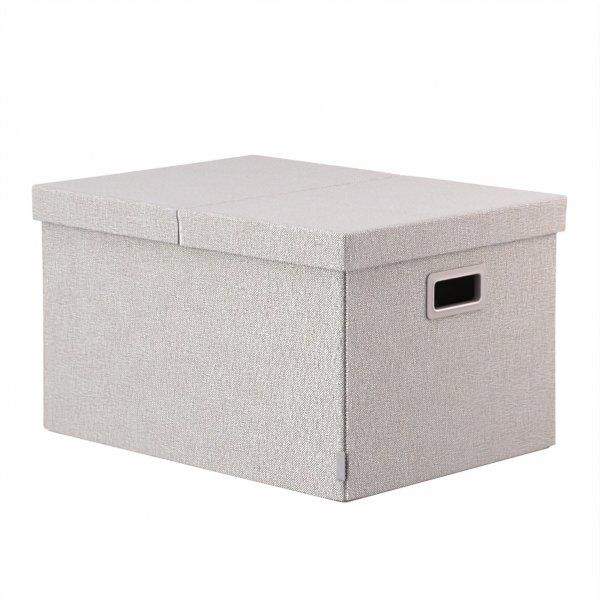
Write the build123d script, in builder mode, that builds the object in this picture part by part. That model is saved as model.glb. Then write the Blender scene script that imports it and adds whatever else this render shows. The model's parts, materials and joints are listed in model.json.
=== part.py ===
from build123d import *

import os

# A lidded storage box. Its walls are sewn fabric pockets with chipboard inside, a loose folding board
# stiffens its floor, and its lid is two halves that fold up about a fabric hinge across the middle.
# X runs along the length, the front is at -Y and Z is up. The origin is on the floor, under the
# middle of the box. All sizes are millimetres.

# Outside of the box
body_length = 500.0
body_width = 360.0
total_height = 300.0

# Layers of a wall or of the lid, from the outside in
cover_thickness = 0.8  # woven outer fabric
board_thickness = 2.5  # chipboard
lining_thickness = 0.8  # inner lining, and the hem that lies in its layer
panel_thickness = cover_thickness + board_thickness + lining_thickness

# Wall pockets
wall_hem = 30.0  # outer fabric turned down inside the top edge
seam_margin = 2.5  # flat seam beside each corner, clear of the boards
bottom_roll = 2.5  # seam below the boards
seam_gap = 1.2  # width of the corner seam between two pockets
seam_depth = 2.2  # how far the corner seam reaches out from the inner corner
long_edge_radius = 1.5
end_edge_radius = 1.0
hem_edge_bevel = 0.5  # flattened fold along the top and bottom edges
fold_gap = 5.0  # bare fabric between the two boards of a long wall
crease_depth = 0.3

# Floor
bottom_inset = 1.0
bottom_corner_radius = 3.0
base_core_thickness = 3.0  # chipboard of the loose folding board
base_side_clearance = 1.5
base_end_clearance = 0.9  # between the board's ends and the handles' collars
base_hem = 25.0
base_edge_radius = 0.8
base_hinge_rise = 0.3  # the fold line stands this far above the board's top

# Handle inserts in the two ends
handle_drop = 89.0  # middle of the opening below the lid's top
opening_length = 80.0
opening_height = 32.0
opening_corner = 6.0
flange_length = 100.0
flange_height = 52.0
flange_corner = 7.0
flange_thickness = 3.5
flange_edge_bevel = 0.8
lip_radius = 1.2  # rounding round the opening, where fingers go in
collar_wall = 1.8
collar_fit = 0.2  # clearance of the collar in the wall and in the backing ring
backing_thickness = 2.0
backing_edge_bevel = 0.6
hook_length = 1.5
hook_height = 1.0
hook_width = 10.0
hook_spacing = 40.0

# Sewn-in tag at the front right corner
tag_bottom = 26.0
tag_height = 32.0
tag_width = 14.0
tag_thickness = 0.6
tag_fold = 0.35  # how far the ribbon's fold stands out of the seam

# Lid
lid_clearance = 4.2  # between the walls and the lid's rim
lid_rim_height = 42.0
lid_corner_radius = 8.0
lid_edge_radius = 4.0
lid_hem = 20.0  # outer fabric turned up inside the rim
slit_top = 1.2  # gap between the two halves' rims at the top
slit_bottom = 2.8  # and at the rim's lower edge
hinge_width = 4.0  # fabric strip between the two halves
hinge_recess = 0.3
hinge_end_gap = 0.3

# Planes and half sizes that the pieces share
half_length = body_length / 2
half_width = body_width / 2
inner_half_length = half_length - panel_thickness
inner_half_width = half_width - panel_thickness
wall_bottom = cover_thickness
wall_top = total_height - panel_thickness
wall_height = wall_top - wall_bottom
board_bottom = wall_bottom + bottom_roll
board_top = wall_top - cover_thickness
hem_line = wall_top - wall_hem
handle_height = total_height - handle_drop
pocket_half_length = inner_half_length - seam_margin
pocket_half_width = inner_half_width - seam_margin
mitre_setback = seam_gap / 2**0.5
lid_half_length = half_length + lid_clearance + panel_thickness
lid_half_width = half_width + lid_clearance + panel_thickness
rim_bottom = total_height - lid_rim_height
lid_hem_line = rim_bottom + lid_hem
top_board_bottom = wall_top + lining_thickness
hinge_half_length = lid_half_width - panel_thickness
collar_inner_x = inner_half_length - backing_thickness - hook_length

ALL_ROUND = 1000.0  # reach of a cut that passes right through


def block(x, y, z, mode=Mode.ADD):
    """A plain block between the two limits given for each axis."""
    with Locations(((x[0] + x[1]) / 2, (y[0] + y[1]) / 2, (z[0] + z[1]) / 2)):
        Box(x[1] - x[0], y[1] - y[0], z[1] - z[0], mode=mode)


def mirrored(source, plane):
    """The same piece on the other side of the box."""
    with BuildPart() as copy:
        mirror(source.part, about=plane)
    return copy


def handle_outline(margin, mode=Mode.ADD):
    """The handle's opening, grown by a margin."""
    with Locations((0, handle_height)):
        RectangleRounded(
            opening_length + 2 * margin,
            opening_height + 2 * margin,
            opening_corner + margin,
            mode=mode,
        )


def flange_outline():
    """The outer outline of a handle's flange and of its backing ring."""
    with Locations((0, handle_height)):
        RectangleRounded(flange_length, flange_height, flange_corner)


def cut_for_handle(part):
    """The wall's cut-out that the handle's collar passes through."""
    with BuildPart() as cut:
        add(part.part)
        with BuildSketch(Plane.YZ.offset(half_length + panel_thickness)):
            handle_outline(collar_wall + collar_fit)
        extrude(amount=-3 * panel_thickness, mode=Mode.SUBTRACT)
    return cut


def lid_outline(inset, mode=Mode.ADD):
    """The lid's outline seen from above, drawn in by an inset."""
    RectangleRounded(
        2 * (lid_half_length - inset),
        2 * (lid_half_width - inset),
        lid_corner_radius - min(inset, panel_thickness),
        mode=mode,
    )


def keep_left_half(part):
    """Cuts a lid piece at the slits of the rims and, between them, at the edge of the hinge strip."""
    with BuildPart() as half:
        add(part.part)
        with BuildSketch(Plane.XZ):
            Polygon(
                (-slit_top / 2, total_height),
                (-slit_bottom / 2, rim_bottom),
                (ALL_ROUND, rim_bottom),
                (ALL_ROUND, total_height),
            )
        extrude(amount=ALL_ROUND, both=True, mode=Mode.SUBTRACT)
        block(
            (-hinge_width / 2, ALL_ROUND),
            (-hinge_half_length, hinge_half_length),
            (rim_bottom, total_height),
            mode=Mode.SUBTRACT,
        )
    return half


# Front and back walls: one pocket of outer fabric each, with mitred ends at the corner seams
with BuildPart() as front_cover:
    with BuildSketch(Plane.XY.offset(wall_bottom)):
        outer_end = half_length - mitre_setback
        inner_end = outer_end - panel_thickness
        Polygon(
            (-outer_end, -half_width),
            (outer_end, -half_width),
            (inner_end, -inner_half_width),
            (-inner_end, -inner_half_width),
        )
    extrude(amount=wall_height)
    outer_uprights = front_cover.edges().filter_by(Axis.Z).group_by(Axis.Y)[0]
    fillet(outer_uprights, long_edge_radius)
    outer_rails = front_cover.edges().filter_by(Axis.X).group_by(Axis.Y)[0]
    chamfer(outer_rails, hem_edge_bevel)
    block(
        (-pocket_half_length, pocket_half_length),
        (-half_width + cover_thickness, -inner_half_width - lining_thickness),
        (board_bottom, board_top),
        mode=Mode.SUBTRACT,
    )
    block(
        (-pocket_half_length, pocket_half_length),
        (-inner_half_width - lining_thickness, -inner_half_width),
        (board_bottom, hem_line),
        mode=Mode.SUBTRACT,
    )
    # the crease where the wall folds in half
    with BuildSketch(Plane.XY.offset(wall_bottom)):
        Polygon(
            (-fold_gap / 2, -half_width),
            (fold_gap / 2, -half_width),
            (0, -half_width + crease_depth),
        )
    extrude(amount=wall_height, mode=Mode.SUBTRACT)

with BuildPart() as front_board_right:
    block(
        (fold_gap / 2, pocket_half_length),
        (-half_width + cover_thickness, -inner_half_width - lining_thickness),
        (board_bottom, board_top),
    )

with BuildPart() as front_lining:
    block(
        (-pocket_half_length, pocket_half_length),
        (-inner_half_width - lining_thickness, -inner_half_width),
        (board_bottom, hem_line),
    )

# End walls: the same pocket turned a quarter, with the handle's cut-out
with BuildPart() as right_end_pocket:
    with BuildSketch(Plane.XY.offset(wall_bottom)):
        outer_side = half_width - mitre_setback
        inner_side = outer_side - panel_thickness
        Polygon(
            (half_length, -outer_side),
            (half_length, outer_side),
            (inner_half_length, inner_side),
            (inner_half_length, -inner_side),
        )
    extrude(amount=wall_height)
    outer_uprights = right_end_pocket.edges().filter_by(Axis.Z).group_by(Axis.X)[-1]
    fillet(outer_uprights, end_edge_radius)
    outer_rails = right_end_pocket.edges().filter_by(Axis.Y).group_by(Axis.X)[-1]
    chamfer(outer_rails, hem_edge_bevel)
    block(
        (inner_half_length + lining_thickness, half_length - cover_thickness),
        (-pocket_half_width, pocket_half_width),
        (board_bottom, board_top),
        mode=Mode.SUBTRACT,
    )
    block(
        (inner_half_length, inner_half_length + lining_thickness),
        (-pocket_half_width, pocket_half_width),
        (board_bottom, hem_line),
        mode=Mode.SUBTRACT,
    )

with BuildPart() as right_end_panel:
    block(
        (inner_half_length + lining_thickness, half_length - cover_thickness),
        (-pocket_half_width, pocket_half_width),
        (board_bottom, board_top),
    )

with BuildPart() as right_end_sheet:
    block(
        (inner_half_length, inner_half_length + lining_thickness),
        (-pocket_half_width, pocket_half_width),
        (board_bottom, hem_line),
    )

right_end_cover = cut_for_handle(right_end_pocket)
right_end_board = cut_for_handle(right_end_panel)
right_end_lining = cut_for_handle(right_end_sheet)

# Corner seam between two pockets: a strip along the mitre, set back so that a groove shows
mitre_length = panel_thickness * 2**0.5
seam_start = mitre_length - seam_depth
front_right_mitre = Plane(
    origin=(half_length, -half_width, wall_bottom), x_dir=(-1, 1, 0), z_dir=(0, 0, 1)
)
with BuildPart() as corner_seam_front_right:
    with BuildSketch(front_right_mitre):
        with Locations(((seam_start + mitre_length) / 2, 0)):
            Rectangle(seam_depth, seam_gap)
    extrude(amount=wall_height)

# Floor: the outer fabric, its lining, and the loose board that folds in half
with BuildPart() as bottom_cover:
    with BuildSketch():
        RectangleRounded(
            body_length - 2 * bottom_inset,
            body_width - 2 * bottom_inset,
            bottom_corner_radius,
        )
    extrude(amount=cover_thickness)

with BuildPart() as bottom_lining:
    block(
        (-inner_half_length, inner_half_length),
        (-inner_half_width, inner_half_width),
        (wall_bottom, wall_bottom + lining_thickness),
    )

base_bottom = wall_bottom + lining_thickness
base_core_bottom = base_bottom + lining_thickness
base_core_top = base_core_bottom + base_core_thickness
base_top = base_core_top + lining_thickness
base_half_length = collar_inner_x - base_end_clearance
base_half_width = inner_half_width - base_side_clearance

with BuildPart() as base_cover_right:
    block(
        (0, base_half_length),
        (-base_half_width, base_half_width),
        (base_bottom, base_top),
    )
    top_rim = base_cover_right.faces().sort_by(Axis.Z)[-1].edges()
    fillet(top_rim.sort_by(Axis.X)[1:], base_edge_radius)
    block(
        (lining_thickness, base_half_length - lining_thickness),
        (-base_half_width + lining_thickness, base_half_width - lining_thickness),
        (base_core_bottom, base_core_top),
        mode=Mode.SUBTRACT,
    )
    block(
        (base_hem, base_half_length - base_hem),
        (-base_half_width + base_hem, base_half_width - base_hem),
        (base_bottom, base_core_bottom),
        mode=Mode.SUBTRACT,
    )

with BuildPart() as base_board_right:
    block(
        (lining_thickness, base_half_length - lining_thickness),
        (-base_half_width + lining_thickness, base_half_width - lining_thickness),
        (base_core_bottom, base_core_top),
    )

# Handle insert: a flange with a lip round the opening, a collar through the wall, and snap hooks
# that catch behind the backing ring
backing_face = inner_half_length - backing_thickness
with BuildPart() as right_handle_bezel:
    with BuildSketch(Plane.YZ.offset(half_length)):
        flange_outline()
        handle_outline(0, mode=Mode.SUBTRACT)
    extrude(amount=flange_thickness)
    flange_face = right_handle_bezel.faces().sort_by(Axis.X)[-1]
    chamfer(flange_face.outer_wire().edges(), flange_edge_bevel)
    flange_face = right_handle_bezel.faces().sort_by(Axis.X)[-1]
    fillet(flange_face.inner_wires()[0].edges(), lip_radius)
    with BuildSketch(Plane.YZ.offset(half_length)):
        handle_outline(collar_wall)
        handle_outline(0, mode=Mode.SUBTRACT)
    extrude(amount=collar_inner_x - half_length)
    for hook_y in (-hook_spacing / 2, hook_spacing / 2):
        for side in (-1, 1):
            collar_z = handle_height + side * (opening_height / 2 + collar_wall)
            with BuildSketch(Plane.XZ.offset(-hook_y - hook_width / 2)):
                Polygon(
                    (backing_face, collar_z - side * collar_wall / 2),
                    (backing_face, collar_z + side * hook_height),
                    (collar_inner_x, collar_z),
                    (collar_inner_x, collar_z - side * collar_wall / 2),
                )
            extrude(amount=hook_width)

with BuildPart() as right_handle_backing:
    with BuildSketch(Plane.YZ.offset(inner_half_length)):
        flange_outline()
        handle_outline(collar_wall + collar_fit, mode=Mode.SUBTRACT)
    extrude(amount=-backing_thickness)
    inner_rim = right_handle_backing.faces().sort_by(Axis.X)[0].outer_wire().edges()
    chamfer(inner_rim, backing_edge_bevel)

# Tag: a ribbon caught in the front right corner seam, lying flat on the front wall
tag_rise = tag_bottom - wall_bottom
with BuildPart() as seam_tag:
    with BuildSketch(front_right_mitre.offset(tag_rise)):
        with Locations(((seam_start - tag_fold) / 2, 0)):
            Rectangle(seam_start + tag_fold, tag_thickness)
    extrude(amount=tag_height)
    block(
        (half_length - tag_width, half_length - tag_fold / 2),
        (-half_width - tag_thickness, -half_width),
        (tag_bottom, tag_bottom + tag_height),
    )

# Lid half: a shell of outer fabric round the boards, with its hem turned up inside the rim
slit_end = -slit_bottom / 2 - cover_thickness
with BuildPart() as lid_shell:
    with BuildSketch(Plane.XY.offset(rim_bottom)):
        lid_outline(0)
    extrude(amount=lid_rim_height)
    fillet(lid_shell.faces().sort_by(Axis.Z)[-1].edges(), lid_edge_radius)
    chamfer(lid_shell.faces().sort_by(Axis.Z)[0].edges(), hem_edge_bevel)
    with BuildSketch(Plane.XY.offset(rim_bottom)):
        lid_outline(panel_thickness)
    extrude(amount=lid_hem, mode=Mode.SUBTRACT)
    with BuildSketch(Plane.XY.offset(lid_hem_line)):
        lid_outline(cover_thickness + board_thickness)
    extrude(amount=top_board_bottom - lid_hem_line, mode=Mode.SUBTRACT)
    with BuildSketch(Plane.XY.offset(top_board_bottom)):
        lid_outline(panel_thickness)
    extrude(amount=board_thickness, mode=Mode.SUBTRACT)
    # the layer that holds the rim boards, closed by a turned end beside each slit
    with BuildSketch(Plane.XY.offset(rim_bottom + cover_thickness)):
        lid_outline(cover_thickness)
        lid_outline(cover_thickness + board_thickness, mode=Mode.SUBTRACT)
        with Locations((slit_end + ALL_ROUND / 2, 0)):
            Rectangle(ALL_ROUND, ALL_ROUND, mode=Mode.SUBTRACT)
    extrude(amount=wall_top - rim_bottom - cover_thickness, mode=Mode.SUBTRACT)

lid_left_cover = keep_left_half(lid_shell)

with BuildPart() as lid_inside:
    with BuildSketch(Plane.XY.offset(lid_hem_line)):
        lid_outline(cover_thickness + board_thickness)
    extrude(amount=top_board_bottom - lid_hem_line)
    with BuildSketch(Plane.XY.offset(lid_hem_line)):
        lid_outline(panel_thickness)
    extrude(amount=wall_top - lid_hem_line, mode=Mode.SUBTRACT)
    # turned up over the top board's edge beside the hinge
    block(
        (-hinge_width / 2 - lining_thickness, -hinge_width / 2),
        (-hinge_half_length, hinge_half_length),
        (wall_top, top_board_bottom + board_thickness),
    )

lid_left_lining = keep_left_half(lid_inside)

board_edge = -hinge_width / 2 - lining_thickness
with BuildPart() as lid_left_top_board:
    with BuildSketch(Plane.XY.offset(top_board_bottom)):
        lid_outline(panel_thickness)
        with Locations((board_edge + ALL_ROUND / 2, 0)):
            Rectangle(ALL_ROUND, ALL_ROUND, mode=Mode.SUBTRACT)
    extrude(amount=board_thickness)

rim_board_z = (rim_bottom + cover_thickness, wall_top)
with BuildPart() as lid_left_front_rim_board:
    block(
        (-lid_half_length + lid_corner_radius, slit_end),
        (
            -lid_half_width + cover_thickness,
            -lid_half_width + cover_thickness + board_thickness,
        ),
        rim_board_z,
    )

with BuildPart() as lid_left_end_rim_board:
    block(
        (
            -lid_half_length + cover_thickness,
            -lid_half_length + cover_thickness + board_thickness,
        ),
        (-lid_half_width + lid_corner_radius, lid_half_width - lid_corner_radius),
        rim_board_z,
    )

# Hinge strip between the halves: outer fabric over a tape, stitched together
hinge_top = total_height - hinge_recess
hinge_reach = hinge_half_length - hinge_end_gap
with BuildPart() as lid_hinge_strip:
    block(
        (-hinge_width / 2, hinge_width / 2),
        (-hinge_reach, hinge_reach),
        (hinge_top - cover_thickness, hinge_top),
    )

with BuildPart() as lid_hinge_tape:
    block(
        (-hinge_width / 2, hinge_width / 2),
        (-hinge_reach, hinge_reach),
        (hinge_top - cover_thickness - lining_thickness, hinge_top - cover_thickness),
    )

# Pieces that repeat on the other side of the box
front_board_left = mirrored(front_board_right, Plane.YZ)
corner_seam_front_left = mirrored(corner_seam_front_right, Plane.YZ)
lid_left_back_rim_board = mirrored(lid_left_front_rim_board, Plane.XZ)

pieces = {
    "front_cover": front_cover,
    "front_board_left": front_board_left,
    "front_board_right": front_board_right,
    "front_lining": front_lining,
    "back_cover": mirrored(front_cover, Plane.XZ),
    "back_board_left": mirrored(front_board_left, Plane.XZ),
    "back_board_right": mirrored(front_board_right, Plane.XZ),
    "back_lining": mirrored(front_lining, Plane.XZ),
    "right_end_cover": right_end_cover,
    "right_end_board": right_end_board,
    "right_end_lining": right_end_lining,
    "left_end_cover": mirrored(right_end_cover, Plane.YZ),
    "left_end_board": mirrored(right_end_board, Plane.YZ),
    "left_end_lining": mirrored(right_end_lining, Plane.YZ),
    "corner_seam_front_left": corner_seam_front_left,
    "corner_seam_front_right": corner_seam_front_right,
    "corner_seam_back_left": mirrored(corner_seam_front_left, Plane.XZ),
    "corner_seam_back_right": mirrored(corner_seam_front_right, Plane.XZ),
    "bottom_cover": bottom_cover,
    "bottom_lining": bottom_lining,
    "base_board_left": mirrored(base_board_right, Plane.YZ),
    "base_board_right": base_board_right,
    "base_cover_left": mirrored(base_cover_right, Plane.YZ),
    "base_cover_right": base_cover_right,
    "right_handle_bezel": right_handle_bezel,
    "right_handle_backing": right_handle_backing,
    "left_handle_bezel": mirrored(right_handle_bezel, Plane.YZ),
    "left_handle_backing": mirrored(right_handle_backing, Plane.YZ),
    "seam_tag": seam_tag,
    "lid_left_cover": lid_left_cover,
    "lid_left_lining": lid_left_lining,
    "lid_left_top_board": lid_left_top_board,
    "lid_left_front_rim_board": lid_left_front_rim_board,
    "lid_left_back_rim_board": lid_left_back_rim_board,
    "lid_left_end_rim_board": lid_left_end_rim_board,
    "lid_right_cover": mirrored(lid_left_cover, Plane.YZ),
    "lid_right_lining": mirrored(lid_left_lining, Plane.YZ),
    "lid_right_top_board": mirrored(lid_left_top_board, Plane.YZ),
    "lid_right_front_rim_board": mirrored(lid_left_front_rim_board, Plane.YZ),
    "lid_right_back_rim_board": mirrored(lid_left_back_rim_board, Plane.YZ),
    "lid_right_end_rim_board": mirrored(lid_left_end_rim_board, Plane.YZ),
    "lid_hinge_strip": lid_hinge_strip,
    "lid_hinge_tape": lid_hinge_tape,
}

os.makedirs("parts", exist_ok=True)
for name, piece in pieces.items():
    piece.part.label = name
    export_step(piece.part, f"parts/{name}.step")
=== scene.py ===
# %% [markdown]
# # A lidded storage box in linen-look cloth
# The real box is stiff card inside sewn cloth: four walls, a loose base board, and a lid of two halves that
# fold up about a cloth hinge. The imported model comes in first as a fixed frame. Most of its hard pieces, the
# boards and the rings behind the handles, stay and get finishes. Everything that is cloth is made anew here,
# because cloth rolls over its edges, wraps a board loosely and shows its threads, which a plain solid doesn't.

# %% Load the imported model
import json

from functools import partialmethod

import bmesh
import bpy
import numpy as np
from mathutils import Matrix, Vector


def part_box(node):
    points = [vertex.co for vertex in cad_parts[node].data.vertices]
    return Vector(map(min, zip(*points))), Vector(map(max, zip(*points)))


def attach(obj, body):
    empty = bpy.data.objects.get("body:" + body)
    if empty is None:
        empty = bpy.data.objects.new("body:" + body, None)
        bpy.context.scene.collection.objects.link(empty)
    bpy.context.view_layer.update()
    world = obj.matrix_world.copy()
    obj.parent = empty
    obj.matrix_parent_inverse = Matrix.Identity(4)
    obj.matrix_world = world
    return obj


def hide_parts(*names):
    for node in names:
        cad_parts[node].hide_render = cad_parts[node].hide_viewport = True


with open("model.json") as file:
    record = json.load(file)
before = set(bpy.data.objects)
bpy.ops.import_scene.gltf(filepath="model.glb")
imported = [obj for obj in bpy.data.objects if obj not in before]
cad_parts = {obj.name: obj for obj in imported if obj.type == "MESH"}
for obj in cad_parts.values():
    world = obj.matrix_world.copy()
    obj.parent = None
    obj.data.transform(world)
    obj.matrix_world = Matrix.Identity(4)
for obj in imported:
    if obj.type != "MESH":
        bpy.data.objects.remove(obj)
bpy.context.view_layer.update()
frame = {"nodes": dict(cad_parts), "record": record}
nodes = frame["nodes"]
MM = 0.001

# %% [markdown]
# ## Node trees as sums
# A finish is easier to read as sums than as a pile of nodes. `Tree` is any node tree that is being put
# together: its method `node` adds a node from its type, its settings and its inputs. `Wire` wraps one output
# socket and gives it the usual operators, so `height * 0.5 + grain` adds its own Math nodes.


# %% A wire that can be added, multiplied and compared
class Wire:
    """One output socket of a tree, with the operators of ordinary arithmetic."""

    def __init__(self, tree, socket):
        self.tree, self.socket = tree, socket

    def out(self, name):
        """Another output of the same node."""
        return Wire(self.tree, self.socket.node.outputs[name])

    def math(self, operation, *others):
        return self.tree.node("ShaderNodeMath", {"operation": operation}, [self, *others])

    def __rsub__(self, other):
        return self.tree.node("ShaderNodeMath", {"operation": "SUBTRACT"}, [other, self])

    __add__ = __radd__ = partialmethod(math, "ADD")
    __mul__ = __rmul__ = partialmethod(math, "MULTIPLY")
    __sub__ = partialmethod(math, "SUBTRACT")
    __truediv__ = partialmethod(math, "DIVIDE")
    __pow__ = partialmethod(math, "POWER")
    __mod__ = partialmethod(math, "FLOORED_MODULO")
    __gt__ = partialmethod(math, "GREATER_THAN")
    __abs__ = partialmethod(math, "ABSOLUTE")
    floor = partialmethod(math, "FLOOR")


class Tree:
    """A node tree being put together."""

    def __init__(self, tree, clear=True):
        self.tree = tree
        if clear:
            tree.nodes.clear()

    def node(self, kind, settings=None, inputs=(), out=0):
        """Adds a node: its settings are set first, then its inputs, by number or by name."""
        node = self.tree.nodes.new(kind)
        for key, value in (settings or {}).items():
            setattr(node, key, value)
        pairs = inputs.items() if isinstance(inputs, dict) else enumerate(inputs)
        for key, value in pairs:
            self.set(node.inputs[key], value)
        return Wire(self, node.outputs[out]) if node.outputs else None

    def set(self, socket, value):
        if isinstance(value, Wire):
            self.tree.links.new(value.socket, socket)
        elif socket.type == "RGBA" and len(value) == 3:
            socket.default_value = (*value, 1)
        else:
            socket.default_value = value

    def point(self, x, y, z=0.0):
        return self.node("ShaderNodeCombineXYZ", None, [x, y, z])


class Finish(Tree):
    """A material being put together, with its Principled shader ready for wires."""

    def __init__(self, name, **sockets):
        self.material = bpy.data.materials.new(name)
        self.material.use_nodes = True
        super().__init__(self.material.node_tree, clear=False)
        self.shader = self.tree.nodes["Principled BSDF"]
        for socket, value in sockets.items():
            self.shader.inputs[socket.replace("_", " ")].default_value = value

    def flat(self):
        """Where a point lay on the flat cloth, across and along it in mm."""
        parts = self.node("ShaderNodeSeparateXYZ", None, [self.node("ShaderNodeUVMap", {"uv_map": "cloth"})])
        return parts * 1000.0, parts.out("Y") * 1000.0

    def attribute(self, name):
        return self.node("ShaderNodeAttribute", {"attribute_name": name}, out="Fac")

    def noise(self, where, scale, detail=2.0, roughness=0.5):
        """Soft noise from 0 to 1, about `scale` patches to a unit of `where`."""
        inputs = {"Vector": where, "Scale": scale, "Detail": detail, "Roughness": roughness}
        return self.node("ShaderNodeTexNoise", {"noise_dimensions": "3D"}, inputs)

    def remap(self, value, low, high, to_low=0.0, to_high=1.0, kind="LINEAR"):
        """A value between low and high, mapped to between to_low and to_high, and held at both ends."""
        inputs = {"Value": value, "From Min": low, "From Max": high, "To Min": to_low, "To Max": to_high}
        return self.node("ShaderNodeMapRange", {"interpolation_type": kind}, inputs)

    def blend(self, share, one, other, kind="MIX"):
        """A colour between one and other, or one changed by other."""
        settings = {"data_type": "RGBA", "blend_type": kind, "clamp_factor": False}
        return self.node("ShaderNodeMix", settings, {0: share, 6: one, 7: other}, out=2)

    def tint(self, share, color, factor):
        """A colour, multiplied by factor where share is 1."""
        return self.blend(share, color, self.blend(1.0, color, factor, "MULTIPLY"))

    def lit(self, color, light):
        """A colour, made lighter or darker by one number."""
        return self.blend(1.0, color, self.node("ShaderNodeCombineColor", None, [light] * 3), "MULTIPLY")

    def finish(self, color, height, relief, strength, roughness=None):
        """Joins colour, roughness and a bump of `height` times `relief` metres to the shader."""
        inputs = {"Strength": strength, "Distance": relief, "Height": height}
        self.set(self.shader.inputs["Normal"], self.node("ShaderNodeBump", None, inputs))
        self.set(self.shader.inputs["Base Color"], color)
        if roughness is not None:
            self.set(self.shader.inputs["Roughness"], roughness)
        print("finish:", self.material.name, "with", len(self.tree.nodes), "nodes")
        return self.material


# %% [markdown]
# ## The outer cloth
# The box's cloth is a plain weave that imitates linen: pale warp threads run up the walls, and greyer, mauve
# weft threads run across, both about 1.3 mm apart. A picture texture would tile and blur, and real
# threads would take millions of faces, so the weave is worked out in the shader from the cloth's own flat
# coordinates: which thread lies on top in each cell, how round it is, and how its tone wanders along it.

# %% Weave sizes and colours
WARP_PITCH, WEFT_PITCH = 1.36, 1.324  # mm between threads
WARP_COLOR, WEFT_COLOR = (0.95, 0.925, 0.90), (0.31, 0.275, 0.266)
MEAN_COLOR = tuple((a + b) / 2 for a, b in zip(WARP_COLOR, WEFT_COLOR))
PINKISH, GREENISH = (1.0, 0.955, 0.957), (0.98, 1.0, 0.95)
# painted shade: what the cloth's colour is multiplied by deep in a seam
SEAM_SHADE_COLOR = (0.30, 0.26, 0.25)  # what is left of the light deep in a seam


def outer_cloth():
    """The linen-look plain weave, from the flat coordinates in the map called cloth."""
    f = Finish("linen look weave", Roughness=0.9, Sheen_Weight=0.08, Sheen_Roughness=0.5, Specular_IOR_Level=0.25)
    across, along = f.flat()
    place = f.point(across, along)

    # threads wander a little, so that no line of the weave is ruled
    sway = f.noise(f.point(across * 0.35, along), 0.045, 1.0) - 0.5
    drift = f.noise(f.point(across, along * 0.35, 40.0), 0.045, 1.0) - 0.5
    warp_at = across / WARP_PITCH + sway * 0.7
    weft_at = along / WEFT_PITCH + drift * 0.8
    warp_cell, weft_cell = warp_at.floor(), weft_at.floor()

    # plain weave: over and under by turns
    on_top = (warp_cell + weft_cell) % 2.0

    # each thread's own tone beside the next one's, with slubs along it
    def thread_tone(cell, length, shift):
        here = f.noise(f.point(cell * 3.7, length, shift), 1.0, 1.0, 0.6)
        following = f.noise(f.point(cell * 3.7 + 3.7, length, shift), 1.0, 1.0, 0.6)
        return here - following * 0.8 - 0.1

    pair = (warp_at * 0.5).floor()
    warp_share = thread_tone(warp_cell, along * 0.13, 0.0) * 1.45 + thread_tone(pair, along * 0.15, 21.0) * 0.3
    weft_share = thread_tone(weft_cell, across * 0.12, 9.0) * 2.9

    # where the cloth was pressed flatter, its threads stand out less
    crisp_and_lit = f.attribute("crisp_and_lit")
    patch = f.remap(f.noise(place, 0.085, 3.0, 0.6), 0.32, 0.68, 0.35, 1.5)
    depth = (patch * crisp_and_lit**1.6).math("MINIMUM", 1.9)

    # a thread is round: highest along its middle, and it dives at both ends of a cell
    warp_side = abs((warp_at - warp_cell) * 2.0 - 1.0)
    weft_side = abs((weft_at - weft_cell) * 2.0 - 1.0)
    warp_round = (1.0 - warp_side**2.0) * (1.0 - weft_side**4.0 * 0.7)
    weft_round = (1.0 - weft_side**2.0) * (1.0 - warp_side**4.0 * 0.7)
    crown = warp_round * on_top + weft_round * (1.0 - on_top)

    # where the single threads fade, thicker yarns both ways still show as soft streaks
    upright = thread_tone((across / 2.1).floor(), along * 0.055, 11.0)
    level = thread_tone((along / 1.7).floor(), across * 0.045, 17.0)
    plain = f.remap(crisp_and_lit, 0.3, 0.55)
    streaks = (upright * 0.56 + level * 0.25 + 0.025) * plain * (1.15 - crisp_and_lit * 0.75)
    # and as long soft bands
    upright_band = f.noise(f.point(across, along * 0.22, 50.0), 0.1, 1.0) - 0.5
    level_band = f.noise(f.point(across * 0.22, along, 60.0), 0.1, 1.0) - 0.5
    bands = (upright_band + level_band) * (plain * 0.09 + 0.04)

    # tone: the thread on top, the soft streaks, painted shade towards the gaps between threads, and painted light
    # where the weave is crispest, at two corners
    slub = (warp_share * on_top + weft_share * (1.0 - on_top)) * (crisp_and_lit * 0.7 + 0.3)
    tone = 1.0 + slub + streaks + (crown - 0.55) * 0.36 * depth
    tone = tone + (crisp_and_lit - 1.0).math("MAXIMUM", 0.0) * 0.09 + bands
    # colour: that of the thread on top, with a slow drift of hue
    cloth = f.blend(depth, MEAN_COLOR, f.blend(on_top, WEFT_COLOR, WARP_COLOR))
    cloth = f.tint((f.noise(place, 0.028, 2.0) - 0.41) * 2.6, cloth, PINKISH)
    cloth = f.tint((f.noise(f.point(across, along, 70.0), 0.05, 2.0) - 0.46) * 2.4, cloth, GREENISH)
    # painted light from the mesh's values: painted shade where they are above 0 (seams, the slit, the roll onto
    # the top), and painted highlights or lightened shadow where they are below 0
    cloth = f.tint(f.attribute("painted_light"), f.lit(cloth, tone), SEAM_SHADE_COLOR)
    return f.finish(cloth, crown * depth + f.noise(place, 0.02, 2.0) * 4.0, 0.00005, 0.6)


cover_cloth = outer_cloth()

# %% [markdown]
# ## The inner cloth, card, plastic, ribbon and thread
# Inside, such a box is lined with pressed felt: no threads, only short fibres every way and the grid of
# small dots that the pressing leaves. The card is grey-brown with flecks. The handle is moulded plastic with
# a fine satin grain, the tag a satin ribbon, and the sewing thread a two-ply twist.


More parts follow.
